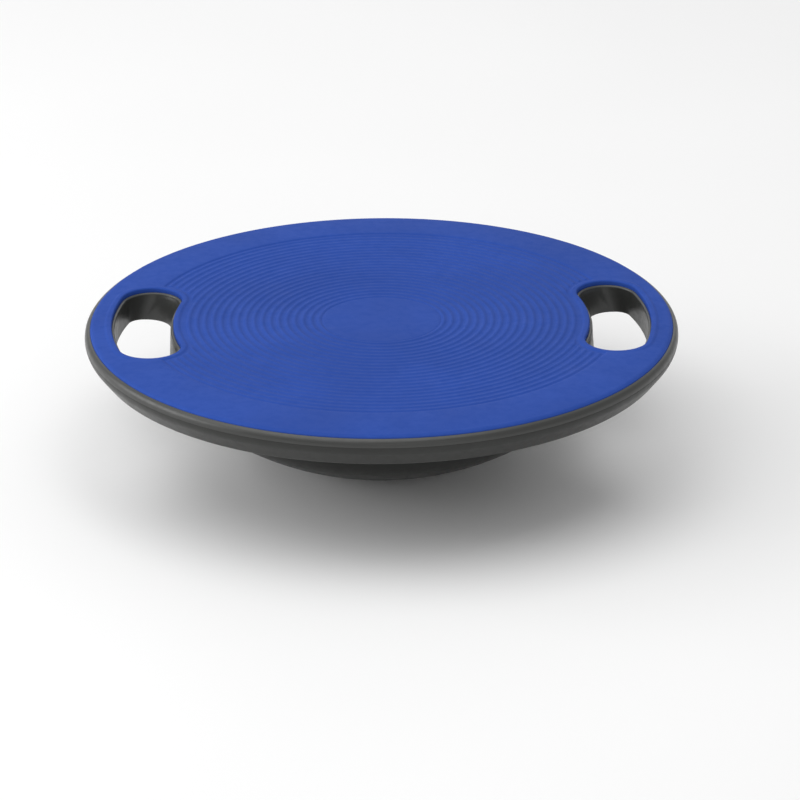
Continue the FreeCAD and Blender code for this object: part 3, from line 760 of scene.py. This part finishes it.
def dome_rib_tool():
    """Radial and ring ribs inside the dome, rooted in the middle of its wall."""
    tool = Surface()
    wall = dome_profile(DOME_WALL / 2)
    foot = [p for p in wall if p[0] > RIB_INNER_R]
    outline = [(RIB_INNER_R, FLANGE_TOP_Z), (RIB_INNER_R, foot[0][1])] + foot
    outline.append((foot[-1][0], FLANGE_TOP_Z))
    for i in range(DOME_RIB_COUNT):
        tool.fin(outline, DOME_RIB_T, (i + 0.5) * 2 * math.pi / DOME_RIB_COUNT)
    for ring_r in RIB_RING_RADII:
        low_z = DOME_R - math.sqrt((DOME_R - DOME_WALL / 2) ** 2 - ring_r ** 2)
        tool.tube((0, 0), ring_r + DOME_RIB_T / 2, ring_r - DOME_RIB_T / 2, low_z, FLANGE_TOP_Z)
    return tool.build("dome_ribs")


def make_dome():
    surface = Surface()
    outer, inner = dome_profile(0), dome_profile(DOME_WALL)
    surface.fan((0, 0, 0), ring(*outer[0]))
    surface.strip([ring(r, z) for r, z in outer] + [ring(DOME_FLANK_R, PANEL_TOP_Z)])
    surface.fan((0, 0, DOME_WALL), ring(*inner[0]))
    surface.strip([ring(r, z) for r, z in inner] + [ring(DOME_FLANK_R - DOME_WALL, FLANGE_TOP_Z)])
    centres = [polar(DOME_SCREW_R, a, 0) for a in SCREW_ANGLES]
    sink_top_z = PANEL_TOP_Z + CSK_R - CLEARANCE_R
    sink = [(CSK_R, PANEL_TOP_Z), (CLEARANCE_R, sink_top_z), (CLEARANCE_R, FLANGE_TOP_Z)]
    for centre in centres:
        surface.strip([hole_ring(centre, r, z) for r, z in sink])
    surface.strip([flange_ring(PANEL_TOP_Z), flange_ring(FLANGE_TOP_Z)])
    surface.plate([flange_ring(PANEL_TOP_Z), ring(DOME_FLANK_R, PANEL_TOP_Z)]
                  + [hole_ring(centre, CSK_R, PANEL_TOP_Z) for centre in centres])
    surface.plate([flange_ring(FLANGE_TOP_Z), ring(DOME_FLANK_R - DOME_WALL, FLANGE_TOP_Z)]
                  + [hole_ring(centre, CLEARANCE_R, FLANGE_TOP_Z) for centre in centres])
    dome = surface.build("dome")
    fuse(dome, dome_rib_tool(), "ribs")
    return dome


# ---------------------------------------------------------------- materials
class Shader:
    """A node material under construction. Patterns are laid in the object's own metres."""

    def __init__(self, name):
        self.material = bpy.data.materials.new(name)
        self.material.use_nodes = True
        self.tree = self.material.node_tree
        self.bsdf = self.tree.nodes["Principled BSDF"]
        self.place = self.tree.nodes.new("ShaderNodeTexCoord").outputs["Object"]

    def node(self, kind, **settings):
        made = self.tree.nodes.new(kind)
        for key, value in settings.items():
            setattr(made, key, value)
        return made

    def wire(self, source, socket):
        if isinstance(source, bpy.types.NodeSocket):
            self.tree.links.new(source, socket)
        else:
            socket.default_value = source

    def noise(self, feature_mm, detail=4.0, roughness=0.55, distortion=0.0):
        """Noise whose features are about feature_mm across."""
        made = self.node("ShaderNodeTexNoise")
        self.wire(self.place, made.inputs["Vector"])
        made.inputs["Scale"].default_value = 1 / (feature_mm * MM)
        made.inputs["Detail"].default_value = detail
        made.inputs["Roughness"].default_value = roughness
        made.inputs["Distortion"].default_value = distortion
        return made.outputs["Fac"]

    def remap(self, value, low, high, to_low=0.0, to_high=1.0):
        made = self.node("ShaderNodeMapRange", interpolation_type="SMOOTHSTEP")
        self.wire(value, made.inputs["Value"])
        for name, number in (("From Min", low), ("From Max", high), ("To Min", to_low), ("To Max", to_high)):
            made.inputs[name].default_value = number
        return made.outputs["Result"]

    def math(self, operation, a, b):
        made = self.node("ShaderNodeMath", operation=operation)
        self.wire(a, made.inputs[0])
        self.wire(b, made.inputs[1])
        return made.outputs["Value"]

    def mix(self, factor, a, b):
        """Colour a where factor is 0, colour b where it is 1."""
        made = self.node("ShaderNodeMix", data_type="RGBA")
        self.wire(factor, made.inputs["Factor"])
        for value, socket in ((a, made.inputs[6]), (b, made.inputs[7])):
            self.wire(value if isinstance(value, bpy.types.NodeSocket) else (*value, 1.0), socket)
        return made.outputs[2]

    def height(self):
        """Height over the floor, in metres."""
        split = self.node("ShaderNodeSeparateXYZ")
        self.wire(self.place, split.inputs["Vector"])
        return split.outputs["Z"]

    def bump(self, layers):
        """Stacked bump layers of (height, relief in mm)."""
        normal = None
        for height, relief_mm in layers:
            made = self.node("ShaderNodeBump")
            made.inputs["Strength"].default_value = 1.0
            made.inputs["Distance"].default_value = relief_mm * MM
            self.wire(height, made.inputs["Height"])
            if normal is not None:
                self.wire(normal, made.inputs["Normal"])
            normal = made.outputs["Normal"]
        self.wire(normal, self.bsdf.inputs["Normal"])

    def finish(self, colour, roughness, **uniform):
        self.wire(colour, self.bsdf.inputs["Base Color"])
        self.wire(roughness, self.bsdf.inputs["Roughness"])
        for name, value in uniform.items():
            self.bsdf.inputs[name.replace("_", " ")].default_value = value
        return self.material


def scaled(colour, factor):
    """The same colour, lighter or darker."""
    return tuple(channel * factor for channel in colour)


def elastomer_material(colour):
    """Matte moulded elastomer: fine grain, faint clouding, light scuffs left by feet."""
    shader = Shader("mat_elastomer")
    cloud = shader.noise(90, detail=3)
    mottle = shader.noise(6, detail=5)
    grain = shader.noise(0.7, detail=3)
    tone = shader.mix(shader.remap(cloud, 0.3, 0.7), scaled(colour, 0.93), scaled(colour, 1.07))
    tone = shader.mix(shader.remap(mottle, 0.3, 0.75, 0.0, 0.35), tone, scaled(colour, 0.9))
    patches = shader.remap(shader.noise(35, detail=9, roughness=0.7), 0.56, 0.72)
    scuffs = shader.math("MULTIPLY", patches, shader.remap(grain, 0.35, 0.7))
    dusty = tuple((1 - DUST_SHARE) * channel + DUST_SHARE * DUST_GREY for channel in colour)
    tone = shader.mix(shader.math("MULTIPLY", scuffs, 0.35), tone, dusty)
    wear = shader.math("ADD", mottle, shader.math("MULTIPLY", scuffs, 0.3))
    roughness = shader.remap(wear, 0.3, 1.0, 0.66, 0.84)
    shader.bump([(cloud, 0.12), (mottle, 0.05), (grain, 0.035)])
    return shader.finish(tone, roughness, Specular_IOR_Level=0.15, IOR=1.5)


def plastic_material(name, colour, scuff_low, scuff_high, scuff_amount, gloss):
    """Satin moulded polypropylene: fine texture, scuffs that fade from a low height to a high one in mm,
    and a painted highlight: a lighter tone along the top edges."""
    shader = Shader(name)
    cloud = shader.noise(70, detail=3)
    mottle = shader.noise(5, detail=5)
    grain = shader.noise(0.6, detail=2)
    tone = shader.mix(shader.remap(cloud, 0.3, 0.7), scaled(colour, 0.93), scaled(colour, 1.08))
    tone = shader.mix(shader.remap(mottle, 0.35, 0.75, 0.0, 0.4), tone, scaled(colour, 0.86))
    worn = shader.remap(shader.noise(9, detail=10, roughness=0.75, distortion=0.6), 0.52, 0.66)
    height = shader.height()
    zone = shader.remap(height, scuff_high * MM, scuff_low * MM, 0.12, 1.0)
    scuffs = shader.math("MULTIPLY", shader.math("MULTIPLY", worn, zone), scuff_amount)
    tone = shader.mix(scuffs, tone, scaled(colour, 1.9))
    # painted highlight: the base colour is lightened over the top edges, the lips round the mat and the
    # openings
    painted_lip_highlight = shader.remap(height, (MAT_SEAT_Z - PAINTED_HIGHLIGHT_FADE) * MM, MAT_SEAT_Z * MM, 0.0, 0.5)
    tone = shader.mix(painted_lip_highlight, tone, scaled(colour, 2.2))
    satin = shader.remap(mottle, 0.3, 0.8, 0.33, 0.43)
    roughness = shader.math("ADD", satin, shader.math("MULTIPLY", scuffs, 0.2))
    shader.bump([(cloud, 0.1), (mottle, 0.03), (grain, 0.03)])
    return shader.finish(tone, roughness, Specular_IOR_Level=gloss, IOR=1.49)


def zinc_material():
    """Zinc-plated steel with a cloudy passivated surface."""
    shader = Shader("screw_zinc")
    cloud = shader.noise(1.5, detail=4)
    tone = shader.mix(shader.remap(cloud, 0.3, 0.7), ZINC_BLUE, ZINC_YELLOW)
    roughness = shader.remap(cloud, 0.3, 0.7, 0.28, 0.42)
    shader.bump([(shader.noise(0.25, detail=2), 0.01)])
    return shader.finish(tone, roughness, Metallic=1.0)


def floor_material():
    """Matte pale floor with a barely visible cloudiness."""
    shader = Shader("floor")
    cloud = shader.noise(600, detail=2)
    tone = shader.mix(shader.remap(cloud, 0.3, 0.7), FLOOR_LOW, FLOOR_HIGH)
    return shader.finish(tone, 0.75, Specular_IOR_Level=0.2)


def paint(piece, material):
    """Gives the piece one material in every slot it has."""
    if not piece.material_slots:
        piece.data.materials.append(material)
    for material_slot in piece.material_slots:
        material_slot.material = material


# ---------------------------------------------------------------- stage
def make_floor():
    surface = Surface()
    reach = FLOOR_REACH / MM
    steps = [-reach + 2 * reach * k / FLOOR_CELLS for k in range(FLOOR_CELLS + 1)]
    surface.strip([[(x, y, CAD_LOW.z / MM) for x in steps] for y in steps], closed=False)
    floor = surface.build("floor")
    paint(floor, floor_material())


def make_light(name, place, size, power):
    """Soft rectangular light aimed at the middle of the board's top."""
    data = bpy.data.lights.new(name, "AREA")
    data.shape = "RECTANGLE"
    data.size, data.size_y = size
    data.energy = power
    light = bpy.data.objects.new(name, data)
    light.location = place
    to_board = Vector((0, 0, BOARD_H * MM)) - light.location
    light.rotation_mode = "QUATERNION"
    light.rotation_quaternion = to_board.to_track_quat("-Z", "Y")
    bpy.context.scene.collection.objects.link(light)


def make_lights():
    """Soft lights from LIGHTS, and an even white surround."""
    for name, place, size, power in LIGHTS:
        make_light(name, place, size, power)
    world = bpy.data.worlds.new("studio")
    world.use_nodes = True
    background = world.node_tree.nodes["Background"]
    background.inputs["Color"].default_value = (1, 1, 1, 1)
    background.inputs["Strength"].default_value = WORLD_STRENGTH
    bpy.context.scene.world = world


def make_camera():
    """Camera turned about the middle of the board's top, then aimed a little right of and below it."""
    data = bpy.data.cameras.new("camera")
    data.lens = VIEW_LENS
    data.sensor_width = VIEW_SENSOR
    camera = bpy.data.objects.new("camera", data)
    level_reach = math.cos(VIEW_ELEVATION)
    back = Vector((math.sin(VIEW_AZIMUTH) * level_reach, -math.cos(VIEW_AZIMUTH) * level_reach,
                   math.sin(VIEW_ELEVATION)))
    level = (-back).to_track_quat("-Z", "Y")
    top_centre = Vector((0, 0, BOARD_H * MM))
    camera.location = top_centre + back * VIEW_DISTANCE
    aim = top_centre + level @ Vector((AIM_RIGHT, -AIM_DOWN, 0))
    camera.rotation_mode = "QUATERNION"
    look = (aim - camera.location).to_track_quat("-Z", "Y")
    camera.rotation_quaternion = look @ Quaternion((0, 0, 1), VIEW_ROLL)
    bpy.context.scene.collection.objects.link(camera)
    bpy.context.scene.camera = camera


# ---------------------------------------------------------------- assembly
deck_plastic = plastic_material("deck_polypropylene", DECK_GREY,
                                scuff_low=77, scuff_high=97, scuff_amount=0.15, gloss=0.6)
# painted shade: the rim's and the dome's greys are the deck's grey darkened, for the band and the dome, which
# face downwards
rim_plastic = plastic_material("rim_polypropylene", scaled(DECK_GREY, 0.86),
                               scuff_low=76, scuff_high=82, scuff_amount=0.3, gloss=0.3)
dome_plastic = plastic_material("dome_polypropylene", scaled(DECK_GREY, 0.75),
                                scuff_low=2, scuff_high=14, scuff_amount=0.5, gloss=0.22)
pieces = [
    (make_mat(), "top_mat", "mat_tpe", elastomer_material(MAT_BLUE)),
    (make_deck(), "deck_shell", "deck_plastic", deck_plastic),
    (make_rim(), "rim_shell", "rim_plastic", rim_plastic),
    (make_dome(), "rocker_dome", "dome_plastic", dome_plastic),
]
for piece, node, slot, material in pieces:
    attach(piece, "root")
    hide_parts(node)
    paint(piece, material)
zinc = zinc_material()
for node in ("dome_screws", "rim_screws"):
    paint(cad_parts[node], zinc)

make_floor()
make_lights()
make_camera()
bpy.context.scene.view_settings.view_transform = "Standard"

bpy.context.view_layer.update()
